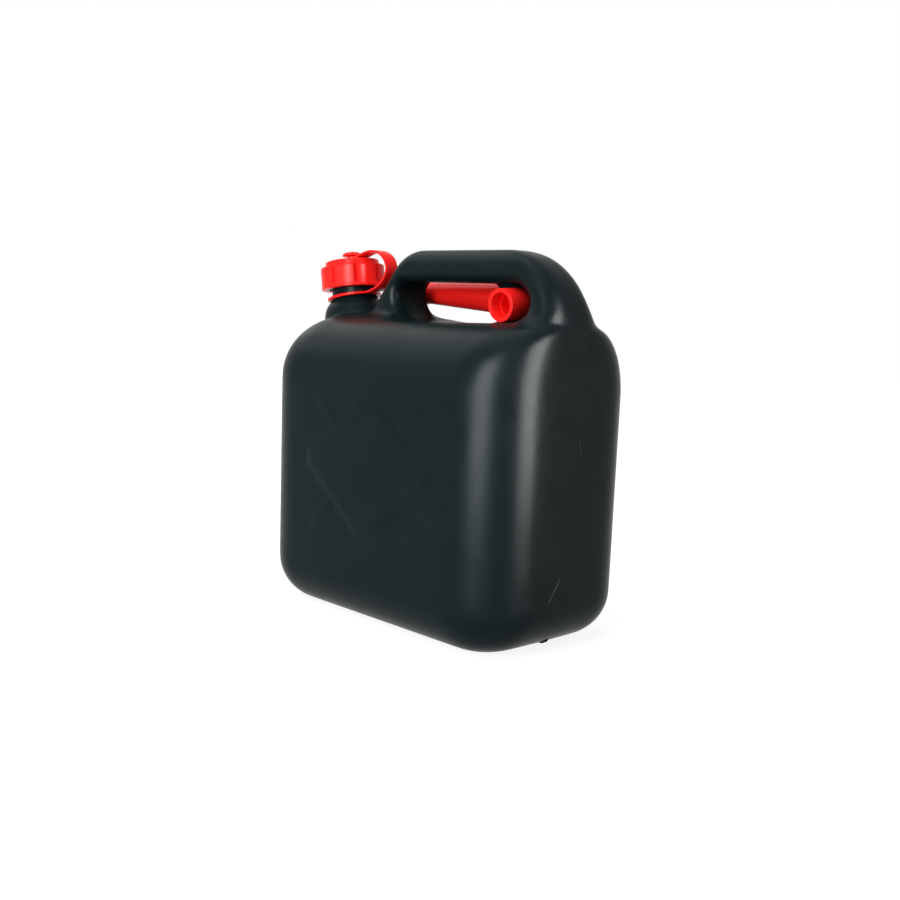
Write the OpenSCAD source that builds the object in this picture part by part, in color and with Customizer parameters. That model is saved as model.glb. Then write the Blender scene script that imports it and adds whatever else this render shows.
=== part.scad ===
// Five litre fuel can: blown body with a handle, screw cap on a strap,
// and a pouring spout stored in the handle.
// Sizes in millimetres. X runs along the can, Y across it, Z up; the can stands on Z = 0.

/* [Body] */
// Length of the body at its corners
body_l = 231.6; // [210:0.2:250]
// How far each end bulges past the corners
end_bulge = 3.2; // [0:0.2:6]
// Width of the body
body_w = 137; // [126:1:150]
// Height to the top of the handle
total_h = 247; // [240:1:256]
// Height of the handle above the deck
handle_rise = 47; // [44:1:52]
// Wall thickness
wall = 2.2; // [1.6:0.1:3]
// Radius of the upright corners
corner_r = 39; // [34:1:44]
// Radius of the bottom edge
base_r = 30.7; // [22:0.1:36]
// Radius of the shoulder
shoulder_r = 43; // [38:1:45]
// Rise of the opening's sill per millimetre of length
deck_slope = 0.02; // [0:0.005:0.03]
// How much narrower each end is at the base than at the shoulder
draft = 1.6; // [0:0.2:4]
// How much higher the shoulder stands at the neck's end
neck_lift = 4; // [0:0.2:6]
// How much higher the shoulder stands at the handle's full end
deck_lift = 1.4; // [0:0.2:4]
// Distance from the middle where the shoulder starts to rise
lift_x = 20; // [0:1:40]
// Depth of the recess under the base
foot_depth = 1; // [0.5:0.1:1.2]
// Length of the recess under the base
foot_l = 140; // [100:1:150]
// Width of the recess under the base
foot_w = 41; // [30:1:50]
// Length of the raised diamond on each broad side
diamond_l = 119; // [90:1:130]
// Height of the raised diamond
diamond_h = 86; // [70:1:100]
// Height of the diamond's centre
diamond_z = 106; // [95:1:115]
// How far the diamond stands out
diamond_t = 0.8; // [0.4:0.1:1.5]

/* [Handle] */
// Width of the handle
handle_w = 35.4; // [32:0.2:40]
// Radius of the handle's upper edges
grip_r = 12; // [9:0.5:14]
// Radius of the handle's end over the can's end
end_arc_r = 54; // [48:1:58]
// Foot of the handle's sloping leg, along X
leg_x = -66.5; // [-70:0.1:-64]
// Run of the sloping leg per millimetre of rise
leg_run = 0.77; // [0.5:0.01:0.9]
// How far the handle's foot spreads at its full end
foot_spread = 10; // [0:0.5:12]
// Height over which the spread dies away
spread_h = 12; // [8:0.5:16]
// Left end of the hand opening
open_x0 = -35; // [-38:0.5:-30]
// Right end of the hand opening
open_x1 = 88.5; // [84:0.5:92]
// Thickness of the grip over the opening
grip_t = 19.8; // [17.5:0.1:21]
// Rounding of the opening's edges
open_edge_r = 7.5; // [4:0.5:9]
// Start of the spout holder's web, along X
web_x = 50; // [47:0.5:53]
// Thickness of the spout holder's web
web_t = 4.6; // [3:0.2:6]

/* [Neck and cap] */
// Place of the neck along X at its foot
neck_x = -95.3; // [-98:0.1:-93]
// Depth of the neck's foot below the deck
neck_sink = 0.7; // [0:0.1:3]
// Lean of the neck towards the can's end, in degrees
neck_lean = 9; // [6:0.5:10]
// Outer radius of the neck
neck_r = 16; // [15:0.1:17]
// Length of the neck above its foot
neck_h = 36.2; // [34.6:0.2:39]
// Wall of the neck
neck_wall = 2.8; // [2.2:0.1:3.6]
// Radius of the flare at the neck's foot
flare_r = 23; // [21.5:0.1:24]
// Outer radius of the cap
cap_r = 23.1; // [22:0.1:25]
// Height of the cap
cap_h = 20; // [18.6:0.1:22]
// Thickness of the cap's top
cap_top = 2.4; // [2:0.1:3.2]
// Space between the neck and the inside of the cap, where the thread runs
thread_space = 1.9; // [1.2:0.1:2.4]
// Number of grip grooves on the cap
groove_count = 8; // [6:1:14]
// Width of the grip grooves
groove_w = 1.9; // [1.4:0.1:2.6]
// Thickness of the seal in the cap
seal_t = 1.6; // [1:0.1:2.4]
// Radius of the button on the cap
button_r = 6.7; // [5:0.1:8]
// Radius of the button's stem
stem_r = 3.2; // [2.4:0.1:3.8]
// Height of the button's stem
stem_h = 3.8; // [2.6:0.1:4.4]
// Thickness of the button
button_t = 2.6; // [2:0.1:3]

/* [Strap] */
// Width of the strap
strap_w = 11; // [8:0.5:12]
// Thickness of the strap
strap_t = 1.5; // [1.2:0.1:1.8]
// Height of the strap's ring above the neck's foot
ring_z = 13.6; // [12:0.1:15]
// Tilt of the strap's ring, drawn up by the strap, in degrees
ring_tilt = 4; // [2:0.5:6]
// Outer radius of the strap's ring
ring_r = 19.6; // [19:0.1:21]
// Height of the strap's ring
ring_t = 1.9; // [1.4:0.1:3]
// How far the strap humps up beside the button
hump = 2.2; // [1:0.1:3]
// How far the strap's loop stands out from the neck's axis
loop_reach = 43; // [40:0.5:46]
// Outer radius of the eyelet under the button
eyelet_r = 6.2; // [5.5:0.1:7]

/* [Spout] */
// Place of the spout's mouth along X
spout_x = 69.4; // [67:0.2:72]
// Height of the spout's mouth above the deck
spout_rise = 13.6; // [13.2:0.1:15]
// How far the sleeve stands out in front of the web
sleeve_l = 17.7; // [13:0.1:22]
// Outer radius of the sleeve
sleeve_r = 10.4; // [10:0.1:10.6]
// Bore of the sleeve
sleeve_bore_r = 7.8; // [7.2:0.1:8.6]
// Depth of the sleeve's wider bore
sleeve_step = 8.4; // [5:0.1:13]
// Outer radius of the tube at the bend
tube_r = 10.1; // [9.6:0.1:10.3]
// Outer radius of the tube where the web's hole grips it
waist_r = 9.2; // [8.6:0.1:9.4]
// Outer radius of the tube at its tip
tip_r = 7.5; // [7:0.1:8.4]
// Wall of the tube
tube_wall = 1.6; // [1.2:0.1:2]
// Radius of the bend
bend_r = 18.6; // [17:0.2:21]
// Angle of the bend
bend_angle = 86.6; // [84:0.1:88]
// Rise of the mouth's axis towards the bend, in degrees
mouth_rise = 4; // [2:0.5:5]
// Rise of the stored tube, in degrees
tube_rise = 1.5; // [0.5:0.1:3]
// Length of the straight tube after the bend
tube_l = 104; // [85:1:108]
// Number of folds after the bend
fold_count = 6; // [4:1:8]
// Spacing of the folds
fold_pitch = 3.2; // [2.8:0.1:4]
// Depth of the folds
fold_depth = 0.8; // [0.5:0.1:1]

/* [Fits] */
// Space round the tube in the web's hole
hole_gap = 0.4; // [0.3:0.05:0.8]
// Space between flat faces that rest on one another
rest_gap = 0.3; // [0.3:0.05:0.6]
// Space between the strap's ring and the neck
ring_gap = 1.1; // [0.8:0.1:1.8]
// Space between the eyelet and the button's stem
eyelet_gap = 0.4; // [0.3:0.05:0.8]
// Space between the seal and the cap
seal_gap = 0.35; // [0.3:0.05:0.6]

/* [Hidden] */
$fn = 64;
half_l = body_l / 2;
half_w = body_w / 2;
half_h = handle_w / 2;
deck_z = total_h - handle_rise;
shoulder_z = deck_z - shoulder_r;
neck_z = deck_z - neck_sink;
spout_z = deck_z + spout_rise;
fillet_r = half_w - shoulder_r - half_h;
arc_z = total_h - end_arc_r;
arc_x = half_l - end_arc_r;
grip_flat = half_h - grip_r;
corner_n = 7;
end_n = 4;
ring_n = 4 * (corner_n + 1) + 2 * (end_n - 1);
open_top = total_h - grip_t;
open_bl = 19;
open_br = 9.3;
open_tl = 7.4;
open_tr = 15;
flare_end = 75;
open_reach = 24;
lean_h = 60;
lean_z = deck_z - lean_h;
sill_drop = 0.3;
foot_in = 22;
flare_low = -4;
diamond_flat = 4.6;
diamond_tip = 8.4;
cap_lip = 0.3;
lobe_out = 3.6;
lobe_h = cap_h - 4.2;
slot_in = 2.6;
cap_z = neck_h + rest_gap + seal_t + rest_gap + cap_top - cap_h;
cap_bore = neck_r + thread_space;
ring_in = 0.8;
shelf_r = ring_r - ring_in;
shelf_z = ring_z - ring_r * sin(ring_tilt) - rest_gap;
strap_top = cap_z + cap_h + rest_gap;
eyelet_in = 1;
hump_x = cap_r + 1;
lobe_edge = 0.8;
past = 1;
edge = 0.8;
lip_h = 1.5;
lip_top = 1.9;
rim_in = 0.9;
groove_low = 2.4;
groove_turn = 12;
button_in = 1.4;
seal_in = 2;
neck_toe = 5;
neck_step = 2.4;
bore_low = 30;
least_r = 8;
waist_in = 2.2;
straight_l = 2.4;
tip_lip = 0.5;
tip_end = 4;
fold_start = 2;
cap_end = neck_x - cap_r * cos(neck_lean) - (cap_z + lobe_h - lobe_edge) * sin(neck_lean);
mid_x = -(cap_end + half_l + end_bulge) / 2;

// Share of the shoulder's rise that a height takes
function lean_at(z) =
    z < lean_z ? 0
    : z < deck_z ? (z - lean_z) / (deck_z - lean_z)
    : (total_h - z) / (total_h - deck_z);

// A soft step from 0 to 1
function soft(u) = let (v = max(0, min(1, u))) v * v * (3 - 2 * v);

// Rise of the shoulder at a place along X
function lift(x) =
    (x > 0 ? deck_lift : neck_lift) * soft((abs(x) - lift_x) / (half_l + end_bulge - lift_x));

// How far the handle's foot spreads at a place along X and a height
function spread(x, z) =
    z < deck_z ? foot_spread * 0.1 * soft((x - 40) / 70) * soft((z - shoulder_z) / (deck_z - shoulder_z))
    : foot_spread * soft((x - 40) / 70) * exp((deck_z - z) / spread_h) * soft((total_h - z) / grip_r);

// Height of the opening's sill at a place along X
function sill(x) = deck_z - sill_drop + deck_slope * x;

// Right end of the section at a height, over the end's arc
function end_x(z, off) =
    z < arc_z ? half_l - off
    : arc_x + sqrt(max(0, pow(end_arc_r - off, 2) - pow(z - arc_z, 2)));

// Left end of the sloping leg at a height
function leg_at(z, off) = leg_x + leg_run * (z - deck_z) + off * sqrt(1 + leg_run * leg_run);

// One section of the body: height, left end, right end, half width, corner radius, bulge
function sections(off) = concat(
    [for (a = [0 : 11.25 : 90])
        let (i = base_r - (base_r - off) * sin(a))
        [base_r - (base_r - off) * cos(a), i - half_l, half_l - i, half_w - i,
         max(corner_r - i, least_r), end_bulge * sin(a)]],
    [for (k = [1 : 3])
        [base_r + (shoulder_z - base_r) * k / 4, off - half_l, half_l - off, half_w - off,
         corner_r - off, end_bulge]],
    [for (a = [0 : 10 : 80])
        let (i = shoulder_r - (shoulder_r - off) * cos(a), z = shoulder_z + (shoulder_r - off) * sin(a))
        [z, i - half_l, end_x(z, off), half_w - i,
         min(corner_r - off - 0.4 * (i - off), half_w - i), end_bulge * cos(a)]],
    [for (a = [25 : 21.66 : 90])
        let (
            z = deck_z + fillet_r - (fillet_r + off) * cos(a),
            t = half_h + fillet_r - (fillet_r + off) * sin(a)
        )
        [z, leg_at(z, off) - fillet_r * (1 - sin(a)), end_x(z, off), t, t - grip_flat * sin(a), 0]],
    [for (k = [1 : 4])
        let (z = deck_z + fillet_r + (total_h - grip_r - deck_z - fillet_r) * k / 5)
        [z, leg_at(z, off), end_x(z, off), half_h - off, grip_r - off, 0]],
    [for (a = [0 : 11.25 : 90])
        let (z = total_h - grip_r + (grip_r - off) * sin(a), t = grip_flat + (grip_r - off) * cos(a))
        [z, leg_at(z, off) + grip_r * 1.1 * (1 - cos(a)), end_x(z, off), t, max(t - grip_flat + 1, 1), 0]]
);

// A rounded rectangle with bulged ends, anticlockwise from above
function ring(s) =
    let (z = s[0], x0 = s[1], x1 = s[2], t = s[3], r = min(s[4], t - 0.4), b = s[5])
    [for (c = [0 : 3], k = [0 : corner_n + ((c == 0 || c == 2) ? end_n - 1 : 0)])
        let (
            a = 90 * c - 90 + 90 * min(k, corner_n) / corner_n,
            cx = (c == 0 || c == 1) ? x1 - r : x0 + r,
            cy = (c == 0 || c == 3) ? r - t : t - r,
            j = max(0, k - corner_n),
            y = cy + r * sin(a) + (c == 0 ? 1 : -1) * (j / end_n) * 2 * (t - r),
            xr = cx + r * cos(a),
            out = b * (1 - pow(y / t, 2)) - draft * max(0, 1 - z / shoulder_z),
            x = xr + (xr > (x0 + x1) / 2 ? 1 : -1) * out
        )
        [x, y * (1 + spread(x, z) / t), z + lift(x) * lean_at(z)]];

// A closed skin over rings of equal count
module skin(rings) {
    n = len(rings[0]);
    m = len(rings);
    polyhedron(
        points = [for (r = rings) each r],
        faces = concat(
            [[for (i = [0 : n - 1]) i]],
            [[for (i = [0 : n - 1]) m * n - 1 - i]],
            [for (k = [0 : m - 2], i = [0 : n - 1])
                [k * n + i, (k + 1) * n + i, (k + 1) * n + (i + 1) % n]],
            [for (k = [0 : m - 2], i = [0 : n - 1])
                [k * n + i, (k + 1) * n + (i + 1) % n, k * n + (i + 1) % n]]
        )
    );
}

// The body and handle as one filled form, drawn in by off all round
module form(off) {
    skin([for (s = sections(off)) ring(s)]);
}

// Outline of the hand opening in X and Z, grown by off everywhere but at the sill
function outline(off, drop) =
    [for (c = [0 : 3], k = [0 : 6])
        let (
            a = 180 + 90 * c + 15 * k,
            r = [open_bl, open_br, open_tr, open_tl][c],
            cx = [open_x0 + open_bl, open_x1 - open_br, open_x1 - open_tr, open_x0 + open_tl][c],
            low = c == 0 ? sill(open_x0) + open_bl : sill(open_x1) + open_br,
            cz = c < 2 ? low : open_top - r,
            g = r + (c < 2 ? off * pow(cos(a), 2) + drop * pow(sin(a), 2) : off)
        )
        [cx + g * cos(a), cz + g * sin(a)]];

// The hand opening with rounded edges, as a cutter; grow moves its faces outwards
module opening(grow, reach) {
    e = open_edge_r;
    steps = [for (a = [0 : 15 : flare_end]) [half_h - e + e * sin(a), e * (1 - cos(a))]];
    last = steps[len(steps) - 1];
    levels = concat(
        [[-reach, last[1]]],
        [for (i = [len(steps) - 1 : -1 : 0]) [-steps[i][0], steps[i][1]]],
        steps,
        [[reach, last[1]]]
    );
    skin([for (v = levels) [for (p = outline(v[1] + grow, grow)) [p[0], -v[0], p[1]]]]);
}

// Brings the middle of the whole can's length over the origin
module at_middle() {
    translate([mid_x, 0, 0]) children();
}

module at_neck() {
    translate([neck_x, 0, neck_z]) rotate([0, -neck_lean, 0]) children();
}

module neck_outer() {
    rotate_extrude()
        polygon([
            [0, -foot_in], [flare_r - neck_toe, -foot_in],
            for (a = [0 : 15 : 90])
                [flare_r - (flare_r - shelf_r) * (1 - cos(a)),
                 flare_low + (shelf_z - neck_step - flare_low) * sin(a)],
            [shelf_r - edge, shelf_z], [neck_r, shelf_z],
            [neck_r, neck_h - edge], [neck_r - edge, neck_h], [0, neck_h]
        ]);
}

// A diamond with flattened corners
module diamond_plate(t) {
    a = diamond_l / 2;
    b = diamond_h / 2;
    rotate([90, 0, 0])
        linear_extrude(height = t, center = true)
            polygon([
                [a, -diamond_flat], [a, diamond_flat], [diamond_tip, b], [-diamond_tip, b],
                [-a, diamond_flat], [-a, -diamond_flat], [-diamond_tip, -b], [diamond_tip, -b]
            ]);
}

module can_body() {
    color([0.12, 0.13, 0.14])
    at_middle()
    difference() {
        union() {
            difference() {
                form(0);
                opening(0, half_h + open_reach);
            }
            translate([web_x, -web_t / 2, sill(web_x) - wall])
                cube([open_x1 - web_x + wall, web_t, open_top + wall - sill(web_x) + wall]);
            at_neck() neck_outer();
            for (s = [-1, 1])
                translate([0, s * (half_w - wall / 2 + diamond_t / 2), diamond_z])
                    diamond_plate(wall / 2 + diamond_t);
        }
        difference() {
            form(wall);
            opening(wall, half_h + open_reach + open_edge_r);
        }
        at_neck() translate([0, 0, -bore_low])
            cylinder(r = neck_r - neck_wall, h = bore_low + neck_h + past);
        at_spout() cylinder(r = waist_r + hole_gap, h = web_t + 4 * past, center = true);
        translate([-foot_l / 2, -foot_w / 2, -past]) cube([foot_l, foot_w, past + foot_depth]);
    }
}

module screw_cap() {
    color([0.85, 0.12, 0.1])
    at_middle() at_neck() translate([0, 0, cap_z])
    difference() {
        union() {
            rotate_extrude()
                polygon([
                    [0, 0], [cap_r + cap_lip, 0], [cap_r + cap_lip, lip_h], [cap_r, lip_top],
                    [cap_r, lobe_h - lobe_edge], [cap_r - lobe_edge, lobe_h],
                    [cap_r - lobe_out, lobe_h + lobe_edge / 2], [cap_r - lobe_out, cap_h - rim_in],
                    [cap_r - lobe_out - rim_in, cap_h], [0, cap_h]
                ]);
            translate([0, 0, cap_h - cap_top / 2])
                cylinder(r = stem_r, h = cap_top / 2 + stem_h + button_t / 2);
            translate([0, 0, cap_h + stem_h])
                rotate_extrude()
                    polygon([
                        [0, 0], [button_r, 0], [button_r, button_t / 2],
                        [button_r - button_in, button_t], [0, button_t]
                    ]);
        }
        translate([0, 0, -past]) cylinder(r = cap_bore, h = cap_h - cap_top + past);
        for (k = [0 : groove_count - 1])
            rotate([0, 0, k * 360 / groove_count + groove_turn])
                translate([cap_r - slot_in, -groove_w / 2, groove_low])
                    cube([slot_in + past, groove_w, lobe_h]);
    }
}

module cap_seal() {
    color([0.2, 0.2, 0.2])
    at_middle() at_neck() translate([0, 0, neck_h + rest_gap])
    difference() {
        cylinder(r = cap_bore - seal_gap, h = seal_t);
        translate([0, 0, -past]) cylinder(r = neck_r - neck_wall - seal_in, h = seal_t + 2 * past);
    }
}

// Middle line of the strap in the neck's own X and Z: the hump beside the button
function strap_hump(u) =
    [eyelet_r - eyelet_in + (hump_x - eyelet_r + eyelet_in) * u,
     strap_top + strap_t / 2 + hump * soft(u)];

// The same line where it loops from the hump down to the ring
function strap_loop(u) =
    let (
        z0 = strap_top + strap_t / 2 + hump,
        x1 = (ring_r - ring_in) * cos(ring_tilt),
        z1 = ring_z + ring_t / 2 + (ring_r - ring_in) * sin(ring_tilt),
        a = 180 * u,
        x0 = u < 0.5 ? hump_x : x1
    )
    [x0 + (loop_reach - x0) * sin(a), (z0 + z1) / 2 + (z0 - z1) / 2 * cos(a)];

// The ring's own frame on the neck
module at_ring() {
    translate([0, 0, ring_z]) rotate([0, -ring_tilt, 0]) children();
}

module cap_strap() {
    n = 20;
    line = concat([for (k = [0 : 5]) strap_hump(k / 6)], [for (k = [0 : n]) strap_loop(k / n)]);
    m = len(line);
    side = [for (k = [0 : m - 1])
        let (d = line[min(m - 1, k + 1)] - line[max(0, k - 1)])
        [-d[1], d[0]] / norm(d) * strap_t / 2];
    color([0.85, 0.12, 0.1])
    at_middle() at_neck()
    difference() {
        union() {
            rotate([90, 0, 0])
                linear_extrude(height = strap_w, center = true)
                    polygon(concat(
                        [for (k = [0 : m - 1]) line[k] + side[k]],
                        [for (k = [m - 1 : -1 : 0]) line[k] - side[k]]
                    ));
            translate([0, 0, strap_top]) cylinder(r = eyelet_r, h = strap_t);
            at_ring() cylinder(r = ring_r, h = ring_t);
        }
        translate([0, 0, strap_top - past]) cylinder(r = stem_r + eyelet_gap, h = strap_t + 2 * past);
        at_ring() translate([0, 0, -past]) cylinder(r = neck_r + ring_gap, h = ring_t + 2 * past);
    }
}

// The spout's own frame: its mouth's axis is Z, the bend turns towards X
module at_spout() {
    translate([spout_x, 0, spout_z])
        rotate([mouth_rise - 90, 0, 0]) rotate([0, 0, 180 + tube_rise])
            children();
}

// Part of a bent tube about Z, from the X axis
module bend(angle, r, bore) {
    rotate_extrude(angle = angle)
        translate([bend_r, 0]) difference() {
            circle(r = r);
            circle(r = bore);
        }
}

module spout() {
    front = -web_t / 2 - rest_gap;
    straight = web_t / 2 + straight_l;
    step = sleeve_l - front + web_t / 2;
    joint = sleeve_l + straight - front;
    waist_bore = waist_r - waist_in;
    in_r = tube_r - tube_wall;
    fold_l = fold_count * fold_pitch;
    over = 2;
    color([0.85, 0.12, 0.1])
    at_middle() at_spout() {
        translate([0, 0, front - sleeve_l])
            rotate_extrude()
                polygon([
                    [sleeve_bore_r, edge], [sleeve_bore_r + edge, 0], [sleeve_r - edge / 2, 0],
                    [sleeve_r, edge / 2], [sleeve_r, sleeve_l - edge], [waist_r, sleeve_l - edge],
                    [waist_r, step + edge], [tube_r, step + 1.5 * edge], [tube_r, joint], [in_r, joint],
                    [waist_bore, sleeve_l - edge], [waist_bore, sleeve_step], [sleeve_bore_r, sleeve_step]
                ]);
        translate([bend_r, 0, straight]) rotate([90, 0, 0])
            rotate([0, 0, 180 - bend_angle - over])
                bend(bend_angle + 2 * over, tube_r - fold_depth, in_r + 0.2);
        for (k = [0 : fold_count - 1])
            translate([bend_r, 0, straight]) rotate([90, 0, 0])
                rotate([0, 0, 180 - (k + 0.75) * bend_angle / fold_count])
                    bend(bend_angle / fold_count / 2, tube_r, in_r + 0.5);
        translate([bend_r, 0, straight]) rotate([0, bend_angle, 0]) translate([-bend_r, 0, 0])
            rotate_extrude()
                polygon(concat(
                    [[in_r, 0], [tube_r, 0]],
                    [for (k = [0 : fold_count - 1]) each [
                        [tube_r - fold_depth, (k + 0.35) * fold_pitch],
                        [tube_r - fold_depth, (k + 0.55) * fold_pitch],
                        [tube_r, (k + 0.8) * fold_pitch], [tube_r, (k + 1) * fold_pitch]
                    ]],
                    [[tube_r, fold_l + fold_start], [tip_r, tube_l - tip_end],
                     [tip_r + tip_lip, tube_l - tip_end + tip_lip], [tip_r + tip_lip, tube_l - tip_lip],
                     [tip_r, tube_l], [tip_r - tube_wall, tube_l],
                     [tip_r - tube_wall, tube_l - tip_end], [in_r, fold_l + fold_start]]
                ));
    }
}

can_body();
screw_cap();
cap_seal();
cap_strap();
spout();
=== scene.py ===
import math
import bpy
from mathutils import Matrix, Vector


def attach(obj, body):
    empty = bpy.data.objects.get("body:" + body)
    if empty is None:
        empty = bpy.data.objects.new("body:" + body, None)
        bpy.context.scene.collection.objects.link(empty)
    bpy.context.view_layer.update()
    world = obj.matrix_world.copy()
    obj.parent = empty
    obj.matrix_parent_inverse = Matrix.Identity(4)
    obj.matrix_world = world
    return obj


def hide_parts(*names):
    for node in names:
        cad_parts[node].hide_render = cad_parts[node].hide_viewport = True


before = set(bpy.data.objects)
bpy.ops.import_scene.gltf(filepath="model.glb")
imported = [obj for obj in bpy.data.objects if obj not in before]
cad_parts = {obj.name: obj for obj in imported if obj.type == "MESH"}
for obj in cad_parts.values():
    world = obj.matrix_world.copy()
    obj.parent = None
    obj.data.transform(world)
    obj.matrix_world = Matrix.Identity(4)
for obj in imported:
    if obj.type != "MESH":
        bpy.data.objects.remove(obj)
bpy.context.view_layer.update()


# Can body: one blown moulding of black polyethylene, with a hollow handle, a hand opening, a web that
# holds the spout, and a threaded neck. The mould's two halves meet along the middle of its ends.
# Sizes here are millimetres; the cap overhangs, so the can's own middle stands a little along X.
MM = 0.001
MIDDLE = Vector((2.358, 0.0, 0.0))
HALF_L, HALF_W, HALF_GRIP = 115.8, 68.5, 17.7
BULGE, DRAFT, BASE_R, CORNER_R, SHOULDER_R = 3.2, 1.6, 30.7, 39.0, 43.0
DECK, TOP, GRIP_R, END_R = 200.0, 247.0, 12.0, 54.0
SHOULDER = DECK - SHOULDER_R
FILLET = HALF_W - SHOULDER_R - HALF_GRIP
GRIP_FLAT = HALF_GRIP - GRIP_R


def soft(u):
    u = max(0.0, min(1.0, u))
    return u * u * (3 - 2 * u)


def turn(axis, degrees):
    return Matrix.Rotation(math.radians(degrees), 3, axis)


def use(obj):
    bpy.ops.object.select_all(action="DESELECT")
    obj.select_set(True)
    bpy.context.view_layer.objects.active = obj
    return obj


def apply(obj, kind, **settings):
    use(obj)
    m = obj.modifiers.new(kind.lower(), kind)
    for key, value in settings.items():
        setattr(m, key, value)
    bpy.ops.object.modifier_apply(modifier=m.name)
    return obj


def loft(name, rings, ends="fill"):
    """A grid rolled into a tube, a row on each ring of points; its ends are filled, or meet as a loop."""
    n, m = len(rings[0]), len(rings)
    bpy.ops.object.select_all(action="DESELECT")
    loop = ends == "loop"
    rows = m if loop else m - 1
    bpy.ops.mesh.primitive_grid_add(x_subdivisions=n, y_subdivisions=rows, size=0.01)
    obj = bpy.context.object
    obj.name = name
    for i, v in enumerate(obj.data.vertices):
        row, col = divmod(i, n + 1)
        v.co = (Vector(rings[row % m][col % n]) + MIDDLE) * MM
    bpy.ops.object.mode_set(mode="EDIT")
    bpy.ops.mesh.select_all(action="SELECT")
    bpy.ops.mesh.remove_doubles(threshold=1e-6)
    if not loop:
        bpy.ops.mesh.fill_holes(sides=0)
    bpy.ops.mesh.select_all(action="SELECT")
    bpy.ops.mesh.normals_make_consistent(inside=False)
    bpy.ops.object.mode_set(mode="OBJECT")
    bpy.ops.object.shade_smooth()
    return obj


def circle(r, n=64):
    return [(r * math.cos(2 * math.pi * k / n), r * math.sin(2 * math.pi * k / n)) for k in range(n)]


def end_x(z):
    rise = z - (TOP - END_R)
    return HALF_L if rise < 0 else HALF_L - END_R + math.sqrt(max(0.0, END_R ** 2 - rise ** 2))


# The handle's leg beside the neck slopes, and its other foot spreads over the far end.
# The deck rises a little to both ends.
LEG_X, LEG_SLOPE = -66.5, 0.77
FOOT_OUT, FOOT_X, FOOT_RUN, FOOT_FADE, FOOT_BELOW = 10, 40, 70, 12, 0.1
LIFT_Z, LIFT_X, LIFT_NECK_END, LIFT_FAR_END = 140, 20, 4.0, 1.4


def leg_x(z):
    return LEG_X + LEG_SLOPE * (z - DECK)


def body_point(x, y, z, x0, x1, t, bulge):
    out = bulge * (1 - (y / t) ** 2) - DRAFT * max(0.0, 1 - z / SHOULDER)
    x += out if x > (x0 + x1) / 2 else -out
    foot = FOOT_OUT * soft((x - FOOT_X) / FOOT_RUN)
    if z < DECK:
        foot *= FOOT_BELOW * soft((z - SHOULDER) / SHOULDER_R)
        lean = max(0.0, (z - LIFT_Z) / (DECK - LIFT_Z))
    else:
        foot *= math.exp((DECK - z) / FOOT_FADE) * soft((TOP - z) / GRIP_R)
        lean = (TOP - z) / (TOP - DECK)
    lift = (LIFT_FAR_END if x > 0 else LIFT_NECK_END) * soft((abs(x) - LIFT_X) / (HALF_L + BULGE - LIFT_X))
    return (x, y * (1 + foot / t), z + lift * lean)


def body_ring(z, x0, x1, t, r, bulge):
    r = min(r, t - 0.4)
    parts = []
    for c in range(4):
        cx = x1 - r if c in (0, 1) else x0 + r
        cy = r - t if c in (0, 3) else t - r
        corner = [math.radians(90 * c - 90 + 9 * k) for k in range(11)]
        points = [(cx + r * math.cos(a), cy + r * math.sin(a)) for a in corner]
        if c in (0, 2):
            x, y = points[-1]
            step = (1 if c == 0 else -1) * 2 * (t - r) / 6
            points += [(x, y + step * j) for j in range(1, 6)]
        parts.append([body_point(x, y, z, x0, x1, t, bulge) for x, y in points])
    ring = []
    for c in range(4):
        ring += parts[c]
        if c in (1, 3):
            a, b = Vector(parts[c][-1]), Vector(parts[(c + 1) % 4][0])
            ring += [tuple(a.lerp(b, j / 16)) for j in range(1, 16)]
    return ring


# The rings climb from the base over the sides and the shoulder, through a fillet, into the handle.
rings = []
for a in range(0, 91, 6):
    s, c = math.sin(math.radians(a)), math.cos(math.radians(a))
    i = BASE_R * (1 - s)
    rings.append((BASE_R * (1 - c), i - HALF_L, HALF_L - i, HALF_W - i, max(CORNER_R - i, 8), BULGE * s))
for k in range(1, 8):
    rings.append((BASE_R + (SHOULDER - BASE_R) * k / 8, -HALF_L, HALF_L, HALF_W, CORNER_R, BULGE))
for a in range(0, 81, 5):
    s, c = math.sin(math.radians(a)), math.cos(math.radians(a))
    i, z = SHOULDER_R * (1 - c), SHOULDER + SHOULDER_R * s
    rings.append((z, i - HALF_L, end_x(z), HALF_W - i, min(CORNER_R - 0.4 * i, HALF_W - i), BULGE * c))
for a in (25, 36, 47, 58, 69, 80, 90):
    s, c = math.sin(math.radians(a)), math.cos(math.radians(a))
    z, t = DECK + FILLET * (1 - c), HALF_GRIP + FILLET * (1 - s)
    rings.append((z, leg_x(z) - FILLET * (1 - s), end_x(z), t, t - GRIP_FLAT * s, 0))
for k in range(1, 6):
    z = DECK + FILLET + (TOP - GRIP_R - DECK - FILLET) * k / 6
    rings.append((z, leg_x(z), end_x(z), HALF_GRIP, GRIP_R, 0))
for a in range(0, 91, 9):
    s, c = math.sin(math.radians(a)), math.cos(math.radians(a))
    z, t = TOP - GRIP_R * (1 - s), GRIP_FLAT + GRIP_R * c
    rings.append((z, leg_x(z) + GRIP_R * 1.1 * (1 - c), end_x(z), t, max(t - GRIP_FLAT + 1, 1), 0))
can = loft("can_body_skin", [body_ring(*s) for s in rings])
apply(can, "SUBSURF", levels=1, render_levels=1)

# The hand opening flares out on both sides, so the grip has no sharp edge.
SILL, SILL_SLOPE = DECK - 0.3, 0.02
OPEN_L, OPEN_R, OPEN_TOP = -35.0, 88.5, TOP - 21.2
LOW_L, LOW_R, HIGH_R, HIGH_L = 19, 9.3, 15, 7.4
EDGE_R, CUT_Y = 7.5, 42


def sill(x):
    return SILL + SILL_SLOPE * x


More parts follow.
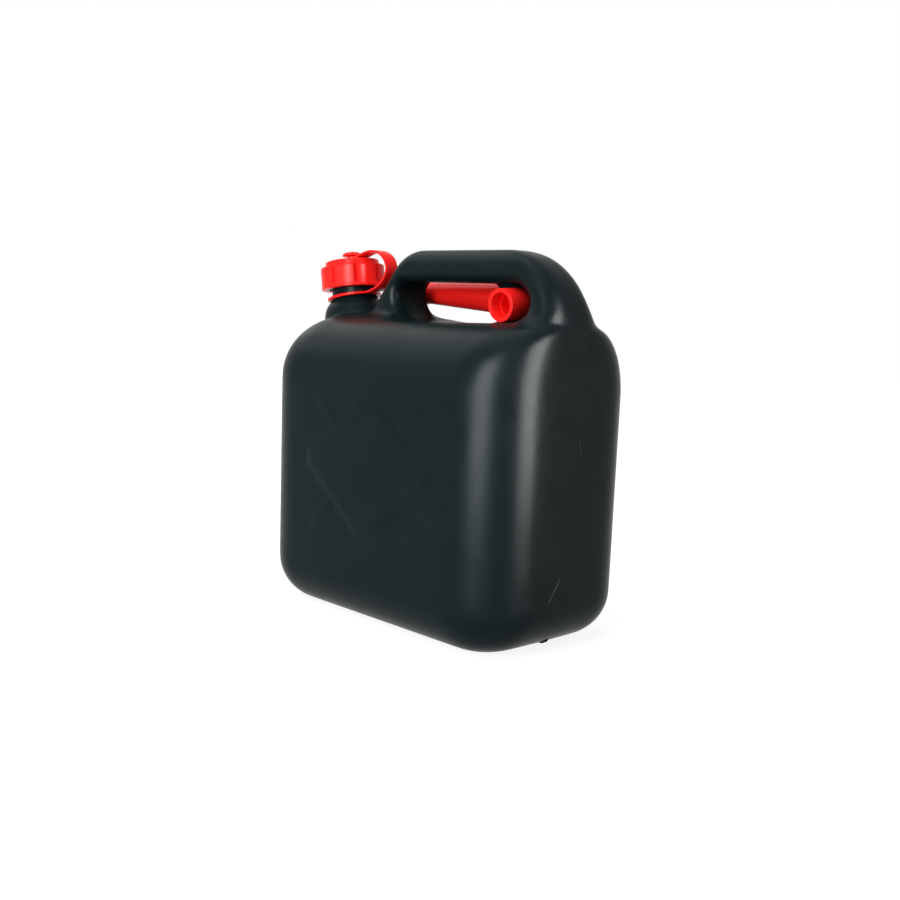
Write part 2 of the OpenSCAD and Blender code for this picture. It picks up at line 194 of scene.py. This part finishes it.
def opening_ring(y, out):
    corners = ((OPEN_L + LOW_L, sill(OPEN_L) + LOW_L, LOW_L), (OPEN_R - LOW_R, sill(OPEN_R) + LOW_R, LOW_R),
               (OPEN_R - HIGH_R, OPEN_TOP - HIGH_R, HIGH_R), (OPEN_L + HIGH_L, OPEN_TOP - HIGH_L, HIGH_L))
    ring = []
    for c, (cx, cz, r) in enumerate(corners):
        for k in range(13):
            a = math.radians(180 + 90 * c + 7.5 * k)
            g = r + (out * math.cos(a) ** 2 if c < 2 else out)
            ring.append((cx + g * math.cos(a), y, cz + g * math.sin(a)))
    return ring


steps = []
for k in range(11):
    a = math.radians(7.5 * k)
    steps.append((HALF_GRIP - EDGE_R + EDGE_R * math.sin(a), EDGE_R * (1 - math.cos(a))))
widest = steps[-1][1]
levels = [(-CUT_Y, widest)] + [(-y, o) for y, o in reversed(steps)] + steps + [(CUT_Y, widest)]
cutter = loft("opening_cutter", [opening_ring(y, o) for y, o in levels])
apply(can, "BOOLEAN", operation="DIFFERENCE", object=cutter, solver="EXACT")
bpy.data.objects.remove(cutter)

# The web at the opening's end, with the hole that the spout clips into.
SPOUT = Vector((69.4, 0.0, 213.6))
SPOUT_DIP, SPOUT_YAW = 4, 1.5
spout_turn = turn("X", SPOUT_DIP - 90) @ turn("Z", 180 + SPOUT_YAW)
WEB_L, WEB_T, WEB_LAP, HOLE_R = 50.0, 4.6, 4, 9.6


def at_spout(x, y, z):
    return SPOUT + spout_turn @ Vector((x, y, z))


bpy.ops.object.select_all(action="DESELECT")
bpy.ops.mesh.primitive_cube_add(size=1)
web = bpy.context.object
for v in web.data.vertices:
    x = WEB_L if v.co.x < 0 else OPEN_R + WEB_LAP
    z = sill(WEB_L) - WEB_LAP if v.co.z < 0 else OPEN_TOP + WEB_LAP
    v.co = (Vector((x, WEB_T * (1 if v.co.y > 0 else -1) / 2, z)) + MIDDLE) * MM
hole = loft("hole_cutter", [[at_spout(x, y, z) for x, y in circle(HOLE_R)] for z in (-6, 6)])
apply(web, "BOOLEAN", operation="DIFFERENCE", object=hole, solver="EXACT")
bpy.data.objects.remove(hole)

# The neck leans out over the can's end; its foot flares into the shoulder.
NECK = Vector((-95.3, 0.0, 199.3))
NECK_LEAN = 9
neck_turn = turn("Y", -NECK_LEAN)
NECK_R, NECK_H, NECK_WALL, FLARE_R, FLARE_Z, SHELF_R, SHELF_Z = 16.0, 36.2, 2.8, 23.0, -4, 18.8, 11.93


def at_neck(x, y, z):
    return NECK + neck_turn @ Vector((x, y, z))


profile = [(18, -22)]
for a in range(0, 91, 10):
    s, c = math.sin(math.radians(a)), math.cos(math.radians(a))
    profile.append((FLARE_R - (FLARE_R - SHELF_R) * (1 - c), FLARE_Z + (SHELF_Z - 2.4 - FLARE_Z) * s))
profile += [(SHELF_R - 0.8, SHELF_Z), (NECK_R, SHELF_Z), (NECK_R, NECK_H - 0.8), (NECK_R - 0.8, NECK_H),
            (NECK_R - 2.2, NECK_H), (NECK_R - NECK_WALL, NECK_H - 0.6), (NECK_R - NECK_WALL, 8)]
neck = loft("neck_turning", [[at_neck(x, y, z) for x, y in circle(r, 72)] for r, z in profile])

# One skin is grown over the joined shapes and smoothed, as the blown wall rounds every inner corner.
SKIN_GRID = 1.7
use(can)
web.select_set(True)
neck.select_set(True)
bpy.ops.object.join()
can.name = "can_body_skin"
apply(can, "REMESH", mode="VOXEL", voxel_size=SKIN_GRID * MM, adaptivity=0)
apply(can, "SMOOTH", factor=0.5, iterations=10)

# Each broad side carries a diamond and the four arms of a cross, raised a little to stiffen the panel.
DIAMOND = Vector((4.0, 106.0))
LONG, LONG_END, HIGH, HIGH_END = 59.5, 4.6, 43, 8.4
ARM_FROM, ARM_TO, ARM_R = Vector((35, 29)), Vector((50, 43)), 6.8
DIAMOND_RISE, DIAMOND_OUT, DIAMOND_EDGE, ARM_RISE, ARM_EDGE = 0.8, 2.4, 6.4, 0.32, 6.0
PANEL_X, PANEL_Y, PANEL_LOW, PANEL_HIGH = 90, 55, 40, 170
diamond_edge = [(LONG, -LONG_END), (LONG, LONG_END), (HIGH_END, HIGH), (-HIGH_END, HIGH),
                (-LONG, LONG_END), (-LONG, -LONG_END), (-HIGH_END, -HIGH), (HIGH_END, -HIGH)]


def inside_diamond(p):
    d = 99.0
    for k in range(8):
        a, b = Vector(diamond_edge[k]), Vector(diamond_edge[(k + 1) % 8])
        e = (b - a).normalized()
        d = min(d, e.x * (p.y - a.y) - e.y * (p.x - a.x))
    return d


def along_arm(p):
    q = Vector((abs(p.x), abs(p.y)))
    arm = ARM_TO - ARM_FROM
    u = max(0.0, min(1.0, (q - ARM_FROM).dot(arm) / arm.length_squared))
    return (q - ARM_FROM.lerp(ARM_TO, u)).length


for v in can.data.vertices:
    x, y, z = v.co / MM
    if abs(y) > PANEL_Y and PANEL_LOW < z < PANEL_HIGH and abs(x) < PANEL_X:
        p = Vector((x - DIAMOND.x, z - DIAMOND.y))
        rise = max(DIAMOND_RISE * soft((inside_diamond(p) + DIAMOND_OUT) / DIAMOND_EDGE),
                   ARM_RISE * soft((ARM_R - along_arm(p)) / ARM_EDGE))
        v.co.y += math.copysign(rise * MM, y)
use(can)
bpy.ops.object.shade_smooth()

# The neck's thread climbs five millimetres a turn, and fades out at both ends.
# It stands less than the strap's ring is loose, so the ring slides over it.
THREAD_Z, THREAD_L, THREAD_H, THREAD_N = 21.2, 12.4, 0.8, 180
thread_rings = []
for k in range(THREAD_N + 1):
    a = math.radians(-200 + 5 * k)
    z = THREAD_Z + THREAD_L * k / THREAD_N
    high = THREAD_H * min(1.0, k / 12, (THREAD_N - k) / 12)
    section = [(NECK_R + u, v) for u, v in ((-0.5, -1.3), (high, -0.45), (high, 0.45), (-0.5, 1.3))]
    thread_rings.append([at_neck(r * math.cos(a), r * math.sin(a), z + v) for r, v in section])
thread = loft("neck_thread", thread_rings)

# Where the mould pinched the parison off, a short rough fin is left on the base's end.
FIN_H, FIN_W, FIN_N = 0.95, 0.75, 12
fin_rings = []
for k in range(FIN_N + 1):
    a = math.radians(22.5 + 1.15 * k)
    s, c = math.sin(a), math.cos(a)
    x, y, z = body_point(HALF_L - BASE_R * (1 - s), 0, BASE_R * (1 - c), -HALF_L, HALF_L, HALF_W, BULGE * s)
    out = Vector((s, 0, -c))
    high = (FIN_H + 0.2 * math.sin(2.3 * k)) * min(1.0, k / 2, (FIN_N - k) / 2)
    wide = FIN_W + 0.12 * math.cos(1.7 * k)
    section = ((-wide, -0.6), (-wide * 0.8, high * 0.8), (-wide * 0.3, high),
               (wide * 0.3, high), (wide * 0.8, high * 0.8), (wide, -0.6))
    fin_rings.append([Vector((x, u, z)) + out * v for u, v in section])
fin = loft("pinch_off_fin", fin_rings)
for piece in (thread, fin):
    use(piece)
    bpy.ops.object.shade_smooth_by_angle(angle=math.radians(45))
use(can)
thread.select_set(True)
fin.select_set(True)
bpy.ops.object.join()
can.name = "can_body_skin"


def linear(hex_colour):
    values = [int(hex_colour[i:i + 2], 16) / 255 for i in (1, 3, 5)]
    return [v / 12.92 if v <= 0.04045 else ((v + 0.055) / 1.055) ** 2.4 for v in values] + [1.0]


def node(tree, kind, links=None, **settings):
    """One node, with its settings, and with each input in links set to a value or joined to a socket."""
    n = tree.nodes.new(kind)
    for key, value in settings.items():
        setattr(n, key, value)
    for key, value in (links or {}).items():
        socket = n.inputs[key]
        if isinstance(value, bpy.types.NodeSocket):
            tree.links.new(value, socket)
        else:
            socket.default_value = value
    return n


def new_material(name):
    mat = bpy.data.materials.new(name)
    mat.use_nodes = True
    tree = mat.node_tree
    tree.nodes.clear()
    return mat, tree


# Blown polyethylene, black: the mould's fine grain makes it satin, and handling leaves a scratch or two.
# The real grain is finer than a millimetre; it is drawn at 1.8 mm so that it shows.
FAR_END_X = 90


def hairline(tree, place, start, end, width, keep):
    """A scratch from start to end on the can's far end, in its Y and Z: keep on the line, 0 elsewhere."""
    d = Vector(end) - Vector(start)
    angle = math.atan2(d.y, d.x)
    from_start = node(tree, "ShaderNodeMapping",
                      {"Vector": place, "Location": (0, -start[0] * MM, -start[1] * MM)})
    flat = node(tree, "ShaderNodeVectorRotate", {"Vector": from_start.outputs["Vector"], "Angle": -angle},
                rotation_type="X_AXIS")
    part = node(tree, "ShaderNodeSeparateXYZ", {"Vector": flat.outputs["Vector"]})
    off = node(tree, "ShaderNodeMath", {0: part.outputs["Z"]}, operation="ABSOLUTE")
    line = node(tree, "ShaderNodeMapRange",
                {"Value": off.outputs[0], "From Min": width * MM, "From Max": 2 * width * MM,
                 "To Min": keep, "To Max": 0.0})
    half = d.length / 2 * MM
    along = node(tree, "ShaderNodeMath", {0: part.outputs["Y"], 1: half, 2: half}, operation="COMPARE")
    deep = node(tree, "ShaderNodeSeparateXYZ", {"Vector": place})
    side = node(tree, "ShaderNodeMath", {0: deep.outputs["X"], 1: FAR_END_X * MM}, operation="GREATER_THAN")
    both = node(tree, "ShaderNodeMath", {0: along.outputs[0], 1: side.outputs[0]}, operation="MULTIPLY")
    mark = node(tree, "ShaderNodeMath", {0: line.outputs["Result"], 1: both.outputs[0]},
                operation="MULTIPLY")
    return mark.outputs[0]


SCRATCHES = (((-7.8, 48.5), (-16.9, 35.0), 0.16, 0.55), ((3.2, 133.0), (4.8, 124.0), 0.14, 0.22))
hdpe, t = new_material("blown_black_polyethylene")
place = node(t, "ShaderNodeTexCoord").outputs["Object"]
grain = node(t, "ShaderNodeTexNoise",
             {"Vector": place, "Scale": 1 / (1.8 * MM), "Detail": 3.0, "Roughness": 0.6})
mottle = node(t, "ShaderNodeTexNoise", {"Vector": place, "Scale": 1 / (38 * MM), "Detail": 4.0})
tint = node(t, "ShaderNodeMix",
            {"Factor": mottle.outputs["Fac"], 6: linear("#091314"), 7: linear("#0e191a")}, data_type="RGBA")
first, second = (hairline(t, place, *scratch) for scratch in SCRATCHES)
marks = node(t, "ShaderNodeMath", {0: first, 1: second}, operation="MAXIMUM")
tint = node(t, "ShaderNodeMix",
            {"Factor": marks.outputs[0], 6: tint.outputs[2], 7: linear("#6d7476")}, data_type="RGBA")
wave = node(t, "ShaderNodeTexNoise", {"Vector": place, "Scale": 1 / (14 * MM), "Detail": 2.0})
sheen = node(t, "ShaderNodeMapRange",
             {"Value": wave.outputs["Fac"], "From Min": 0.3, "From Max": 0.7,
              "To Min": 0.285, "To Max": 0.345})
satin = node(t, "ShaderNodeBump",
             {"Height": grain.outputs["Fac"], "Strength": 0.1, "Distance": 0.15 * MM})
across = node(t, "ShaderNodeSeparateXYZ", {"Vector": place})
middle = node(t, "ShaderNodeMath", {0: across.outputs["Y"]}, operation="ABSOLUTE")
seam = node(t, "ShaderNodeMapRange",
            {"Value": middle.outputs[0], "From Min": 0.1 * MM, "From Max": 0.6 * MM,
             "To Min": 1.0, "To Max": 0.0})
bump = node(t, "ShaderNodeBump",
            {"Height": seam.outputs["Result"], "Strength": 0.3, "Distance": 0.1 * MM,
             "Normal": satin.outputs["Normal"]})
shader = node(t, "ShaderNodeBsdfPrincipled",
              {"Base Color": tint.outputs[2], "Roughness": sheen.outputs["Result"], "IOR": 1.5,
               "Specular IOR Level": 0.04, "Normal": bump.outputs["Normal"]})
node(t, "ShaderNodeOutputMaterial", {"Surface": shader.outputs["BSDF"]})
can.data.materials.clear()
can.data.materials.append(hdpe)
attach(can, "can")
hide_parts("can_body")


# Screw cap: one red injection moulding with eight broad grip lobes, a flat top, and a button on a stem
# that holds the strap's eyelet. It screws down on the neck against its seal.
CAP_R, CAP_H, CAP_TOP, CAP_BORE = 23.1, 20.0, 2.4, 17.9
SEAL_T, SEAL_GAP = 1.6, 0.3
CAP_Z = NECK_H + SEAL_GAP + SEAL_T + SEAL_GAP + CAP_TOP - CAP_H
LOBE_H, LOBE, LOBE_TURN, GROOVE_W, GROOVE_EDGE = CAP_H - 4.2, 45, 12, 0.55, 0.75
CAP_N = 192


def cap_ring(r, z, groove=0.0):
    ring = []
    for k in range(CAP_N):
        a = 2 * math.pi * k / CAP_N
        off = (math.degrees(a) - LOBE_TURN) % LOBE
        off = min(off, LOBE - off) * math.radians(1) * CAP_R
        d = groove * (1 - soft((off - GROOVE_W) / GROOVE_EDGE))
        ring.append(at_neck((r - d) * math.cos(a), (r - d) * math.sin(a), CAP_Z + z))
    return ring


cap_rings = [(CAP_BORE, CAP_H - CAP_TOP, 0), (CAP_BORE, 0.6, 0), (CAP_BORE + 0.6, 0, 0),
             (CAP_R - 0.3, 0, 0), (CAP_R + 0.2, 0.2, 0), (CAP_R + 0.3, 0.6, 0), (CAP_R + 0.3, 1.4, 0),
             (CAP_R + 0.05, 1.8, 0), (CAP_R, 2.3, 0.1), (CAP_R, 2.7, 2.4)]
cap_rings += [(CAP_R, 2.7 + (LOBE_H - 4.1) * k / 5, 2.6) for k in range(1, 6)]
cap_rings += [(CAP_R - 0.1, LOBE_H - 0.4, 2.5), (CAP_R - 0.4, LOBE_H, 2.2),
              (CAP_R - 1.8, LOBE_H + 0.05, 1.0), (CAP_R - 3.2, LOBE_H + 0.1, 0.2),
              (CAP_R - 3.5, LOBE_H + 0.25, 0), (CAP_R - 3.6, LOBE_H + 0.6, 0),
              (CAP_R - 3.6, CAP_H - 0.9, 0), (CAP_R - 3.8, CAP_H - 0.4, 0),
              (CAP_R - 4.5, CAP_H, 0), (CAP_R - 6, CAP_H, 0),
              (3.6, CAP_H, 0), (3.3, CAP_H + 0.2, 0), (3.2, CAP_H + 0.6, 0)]
STEM = CAP_H + 3.8
cap_rings += [(3.2, STEM - 0.2, 0), (3.4, STEM, 0), (6.2, STEM, 0), (6.6, STEM + 0.2, 0),
              (6.7, STEM + 0.6, 0), (6.6, STEM + 1.3, 0), (6.1, STEM + 2.0, 0), (5.2, STEM + 2.5, 0),
              (4.2, STEM + 2.6, 0)]
cap = loft("screw_cap_moulding", [cap_ring(*s) for s in cap_rings])
use(cap)
bpy.ops.object.shade_smooth_by_angle(angle=math.radians(38))

# Moulded red polyethylene: glossy, a little waxy, with faint flow marks and a fine ripple, which is drawn
# at 1.6 mm so that it shows.
red, t = new_material("moulded_red_polyethylene")
place = node(t, "ShaderNodeTexCoord").outputs["Object"]
flow = node(t, "ShaderNodeTexNoise", {"Vector": place, "Scale": 1 / (9 * MM), "Detail": 3.0})
tint = node(t, "ShaderNodeMix",
            {"Factor": flow.outputs["Fac"], 6: linear("#df1a17"), 7: linear("#e8211d")}, data_type="RGBA")
sheen = node(t, "ShaderNodeMapRange", {"Value": flow.outputs["Fac"], "To Min": 0.2, "To Max": 0.265})
fine = node(t, "ShaderNodeTexNoise", {"Vector": place, "Scale": 1 / (1.6 * MM), "Detail": 2.0})
bump = node(t, "ShaderNodeBump", {"Height": fine.outputs["Fac"], "Strength": 0.06, "Distance": 0.15 * MM})
shader = node(t, "ShaderNodeBsdfPrincipled",
              {"Base Color": tint.outputs[2], "Roughness": sheen.outputs["Result"], "IOR": 1.5,
               "Specular IOR Level": 0.05, "Normal": bump.outputs["Normal"]})
node(t, "ShaderNodeOutputMaterial", {"Surface": shader.outputs["BSDF"]})
cap.data.materials.append(red)
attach(cap, "cap")
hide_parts("screw_cap")


# Seal: a flat ring of black rubber, cut from sheet and pressed into the cap, where the neck's rim bears
# on it. The solid's own mesh is shown, and the sheet is matt, with a little dust.
rubber, t = new_material("cut_sheet_rubber")
place = node(t, "ShaderNodeTexCoord").outputs["Object"]
dust = node(t, "ShaderNodeTexNoise", {"Vector": place, "Scale": 1 / (3 * MM), "Detail": 4.0})
tint = node(t, "ShaderNodeMix",
            {"Factor": dust.outputs["Fac"], 6: linear("#17181a"), 7: linear("#242628")}, data_type="RGBA")
shader = node(t, "ShaderNodeBsdfPrincipled", {"Base Color": tint.outputs[2], "Roughness": 0.75, "IOR": 1.5})
node(t, "ShaderNodeOutputMaterial", {"Surface": shader.outputs["BSDF"]})
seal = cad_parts["cap_seal"]
seal.data.materials.clear()
seal.data.materials.append(rubber)


# Strap: one soft red moulding, a flat band from the eyelet under the cap's button, out and down to a thin
# ring that hangs loosely round the neck.
STRAP_W, STRAP_T, RING_Z, RING_R, RING_T = 11.0, 1.5, 13.6, 19.6, 1.9
RING_LEAN = 4
ring_turn = turn("Y", -RING_LEAN)
STRAP_TOP = CAP_Z + CAP_H + 0.3
STRAP_IN, STRAP_OUT, LOOP_OUT, HUMP = 5.2, CAP_R + 1, 43, 2.2
EYELET_IN, EYELET_R, RING_IN = 3.6, 6.2, 17.1
STRAP_EDGE, EYELET_EDGE, RING_EDGE = 0.6, 0.45, 0.6


def strap_hump(u):
    return Vector((STRAP_IN + (STRAP_OUT - STRAP_IN) * u, STRAP_TOP + STRAP_T / 2 + HUMP * soft(u)))


def strap_loop(u):
    low = ring_turn @ Vector((RING_R - 0.8, 0, 0))
    z0, z1 = STRAP_TOP + STRAP_T / 2 + HUMP, RING_Z + RING_T / 2 + low.z
    x0 = STRAP_OUT if u < 0.5 else low.x
    s, c = math.sin(math.pi * u), math.cos(math.pi * u)
    return Vector((x0 + (LOOP_OUT - x0) * s, (z0 + z1) / 2 + (z0 - z1) / 2 * c))


def band_edge(w, h, r):
    edge = []
    for cx, cy, a0 in ((w - r, h - r, 0), (r - w, h - r, 90), (r - w, r - h, 180), (w - r, r - h, 270)):
        for a in (math.radians(a0 + k) for k in (0, 30, 60, 90)):
            edge.append((cx + r * math.cos(a), cy + r * math.sin(a)))
    return edge


line = [strap_hump(k / 12) for k in range(12)] + [strap_loop(k / 48) for k in range(49)]
band_rings = []
flat_edge = band_edge(STRAP_W / 2, STRAP_T / 2, STRAP_EDGE)
for k, p in enumerate(line):
    d = (line[min(len(line) - 1, k + 1)] - line[max(0, k - 1)]).normalized()
    band_rings.append([at_neck(p.x - d.y * v, w, p.y + d.x * v) for w, v in flat_edge])
strap = loft("cap_strap_moulding", band_rings)


def hoop(name, inner, outer, z, high, edge, tilt):
    mid = (inner + outer) / 2
    rings = []
    for k in range(96):
        a = 2 * math.pi * k / 96
        section = [tilt @ Vector(((mid + u) * math.cos(a), (mid + u) * math.sin(a), high / 2 + v))
                   for u, v in band_edge((outer - inner) / 2, high / 2, edge)]
        rings.append([at_neck(p.x, p.y, z + p.z) for p in section])
    return loft(name, rings, "loop")


eyelet = hoop("eyelet", EYELET_IN, EYELET_R, STRAP_TOP, STRAP_T, EYELET_EDGE, turn("Y", 0))
ring = hoop("neck_ring", RING_IN, RING_R, RING_Z, RING_T, RING_EDGE, ring_turn)
use(strap)
eyelet.select_set(True)
ring.select_set(True)
bpy.ops.object.join()
strap.name = "cap_strap_moulding"
bpy.ops.object.shade_smooth_by_angle(angle=math.radians(40))
strap.data.materials.append(red)
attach(strap, "strap")
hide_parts("cap_strap")


# Spout: one red blown moulding, stored in the handle. Its sleeve stands in front of the web, a waist clips
# in the web's hole, and behind it the tube bends round and lies along the back of the handle.
SLEEVE_L, SLEEVE_R, TUBE_R, WAIST_R, TIP_R, WALL = 17.7, 10.4, 10.1, 9.2, 7.5, 1.6
BEND_R, BEND, TUBE_L, FOLDS, PITCH, FOLD_IN = 18.6, 86.6, 104.0, 6, 3.2, 0.8
front = -WEB_T / 2 - 0.3
straight = WEB_T / 2 + 2.4
mouth = front - SLEEVE_L
stations = [(front - 1, 7.0), (mouth + 8.4, 7.0), (mouth + 8.3, 7.8), (mouth + 0.8, 7.8),
            (mouth + 0.25, 8.05), (mouth, 8.6), (mouth, 9.9), (mouth + 0.2, 10.25), (mouth + 0.6, SLEEVE_R),
            (front - 1.2, SLEEVE_R), (front - 0.9, 10.25), (front - 0.8, 9.9), (front - 0.8, WAIST_R),
            (WEB_T / 2 + 0.8, WAIST_R), (WEB_T / 2 + 1.2, TUBE_R - 0.1), (straight, TUBE_R)]
TUBE_N = 56
spout_rings = [[at_spout(x, y, z) for x, y in circle(r, TUBE_N)] for z, r in stations]


def fold(u):
    return FOLD_IN * soft(1 - abs((u % 1.0) - 0.45) / 0.32)


def bend_ring(degrees, r, z):
    """A ring of the tube, turned round the bend by some degrees and then z along the straight."""
    base, tilt = Vector((BEND_R, 0, straight)), turn("Y", degrees)
    return [at_spout(*(base + tilt @ Vector((x - BEND_R, y, z)))) for x, y in circle(r, TUBE_N)]


for k in range(1, 61):
    r = TUBE_R - fold(k / 10) * (1 if k < 60 else 0)
    spout_rings.append(bend_ring(BEND * k / 60, r, 0))
along = [(PITCH * FOLDS * k / 60, TUBE_R - fold(k / 10)) for k in range(1, 61)]
plain = PITCH * FOLDS + 2
along += [(plain + (TUBE_L - 4 - plain) * k / 12, TUBE_R + (TIP_R - TUBE_R) * k / 12) for k in range(13)]
along += [(TUBE_L - 3.6, TIP_R + 0.4), (TUBE_L - 3.3, TIP_R + 0.5), (TUBE_L - 0.6, TIP_R + 0.5),
          (TUBE_L - 0.15, TIP_R + 0.2), (TUBE_L, TIP_R - 0.3), (TUBE_L, TIP_R - WALL + 0.4),
          (TUBE_L - 0.4, TIP_R - WALL), (TUBE_L - 30, TIP_R - WALL + 0.6)]
spout_rings += [bend_ring(BEND, r, z) for z, r in along]
spout = loft("spout_moulding", spout_rings)
use(spout)
bpy.ops.object.shade_smooth_by_angle(angle=math.radians(38))
spout.data.materials.append(red)
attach(spout, "can")
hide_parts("spout")


# Studio: a pale floor that fades into a white ground, two tall strips for the corner's highlights, one
# for the shoulder's, and soft boxes in front and overhead.
def seen_plainly(tree):
    """1 for rays that show the ground itself, to the camera, in a reflection or through glass."""
    path = node(tree, "ShaderNodeLightPath").outputs
    seen = node(tree, "ShaderNodeMath", {0: path["Is Camera Ray"], 1: path["Is Glossy Ray"]},
                operation="MAXIMUM")
    return node(tree, "ShaderNodeMath", {0: seen.outputs[0], 1: path["Is Transmission Ray"]},
                operation="MAXIMUM")


bpy.ops.object.select_all(action="DESELECT")
bpy.ops.mesh.primitive_plane_add(size=6)
floor = bpy.context.object
floor.name = "studio_floor"
paper, t = new_material("pale_paper_floor")
seen = seen_plainly(t)
matt = node(t, "ShaderNodeBsdfDiffuse", {"Color": linear("#e6e6e6")})
place = node(t, "ShaderNodeTexCoord").outputs["Object"]
far = node(t, "ShaderNodeVectorMath", {0: place}, operation="LENGTH")
fade = node(t, "ShaderNodeMapRange",
            {"Value": far.outputs["Value"], "From Min": 0.12, "From Max": 0.5,
             "To Min": 0.88, "To Max": 1.0})
glow = node(t, "ShaderNodeEmission", {"Color": (1, 1, 1, 1), "Strength": fade.outputs["Result"]})
thin = node(t, "ShaderNodeBsdfDiffuse", {"Color": (0.2, 0.2, 0.2, 1)})
lit = node(t, "ShaderNodeAddShader", {0: thin.outputs[0], 1: glow.outputs[0]})
mix = node(t, "ShaderNodeMixShader", {0: seen.outputs[0], 1: matt.outputs[0], 2: lit.outputs[0]})
node(t, "ShaderNodeOutputMaterial", {"Surface": mix.outputs[0]})
floor.data.materials.append(paper)

scene = bpy.context.scene
world = bpy.data.worlds.new("studio_world")
scene.world = world
world.use_nodes = True
t = world.node_tree
t.nodes.clear()
seen = seen_plainly(t)
level = node(t, "ShaderNodeMapRange", {"Value": seen.outputs[0], "To Min": 0.52, "To Max": 1.0})
sky = node(t, "ShaderNodeBackground", {"Color": (1, 1, 1, 1), "Strength": level.outputs["Result"]})
node(t, "ShaderNodeOutputWorld", {"Surface": sky.outputs[0]})


def soft_box(name, place, aim, width, height, watts, diffuse=True, glossy=True):
    light = bpy.data.lights.new(name, "AREA")
    light.shape, light.size, light.size_y, light.energy = "RECTANGLE", width, height, watts
    obj = bpy.data.objects.new(name, light)
    scene.collection.objects.link(obj)
    obj.location = place
    obj.rotation_euler = (Vector(aim) - Vector(place)).to_track_quat("-Z", "Y").to_euler()
    obj.visible_camera, obj.visible_diffuse, obj.visible_glossy = False, diffuse, glossy


# The strips stand close to the can's near corner, so that their reflections run down to its base.
corner, STRIP_AWAY, STRIP_Z, STRIP_H = Vector((0.079, -0.030, 0.0)), 0.55, 0.31, 0.6
for name, az, width, watts in (("strip_left", 19, 0.26, 21), ("strip_right", 98, 0.28, 35)):
    a = math.radians(az)
    place = corner + Vector((math.sin(a), -math.cos(a), 0)) * STRIP_AWAY
    soft_box(name, (place.x, place.y, STRIP_Z), (corner.x, corner.y, STRIP_Z), width, STRIP_H, watts,
             diffuse=False)
soft_box("key", (0.35, -1.2, 1.2), (0, 0, 0.12), 0.8, 0.8, 16, glossy=False)
soft_box("top", (-0.1, -0.2, 1.5), (0, 0, 0.1), 1.2, 0.9, 9)
soft_box("shoulder", (-0.9, -0.15, 0.95), (0, -0.05, 0.19), 1.0, 0.8, 3.6, diffuse=False)
soft_box("fill", (0.0, -1.3, 0.35), (0.02, 0, 0.21), 0.6, 0.5, 11, glossy=False)

# The camera's place and lens follow the photograph: its frame, focal length and axis are in pixels.
FRAME, FOCAL, AXIS_U, AXIS_V, SENSOR = 900, 1149.155, 441.518, 434.814, 36.0
AZIMUTH, ELEVATION, ROLL, AWAY = 46.614, 6.694, 2.08, 0.779665
LOOK_AT = Vector((0.0024, 0, 0.12338))
cam = bpy.data.cameras.new("photo_view")
cam.sensor_fit, cam.sensor_width, cam.lens = "HORIZONTAL", SENSOR, FOCAL * SENSOR / FRAME
cam.shift_x, cam.shift_y = (FRAME / 2 - AXIS_U) / FRAME, -(FRAME / 2 - AXIS_V) / FRAME
cam.clip_start = 0.01
view = bpy.data.objects.new("photo_view", cam)
scene.collection.objects.link(view)
az, el, roll = (math.radians(d) for d in (AZIMUTH, ELEVATION, ROLL))
back = Vector((math.sin(az) * math.cos(el), -math.cos(az) * math.cos(el), math.sin(el)))
right = Vector((math.cos(az), math.sin(az), 0))
up = back.cross(right)
right, up = math.cos(roll) * right + math.sin(roll) * up, math.cos(roll) * up - math.sin(roll) * right
eye = LOOK_AT + back * AWAY
view.matrix_world = Matrix.Translation(eye) @ Matrix((right, up, back)).transposed().to_4x4()
scene.camera = view
scene.view_settings.view_transform = "Standard"
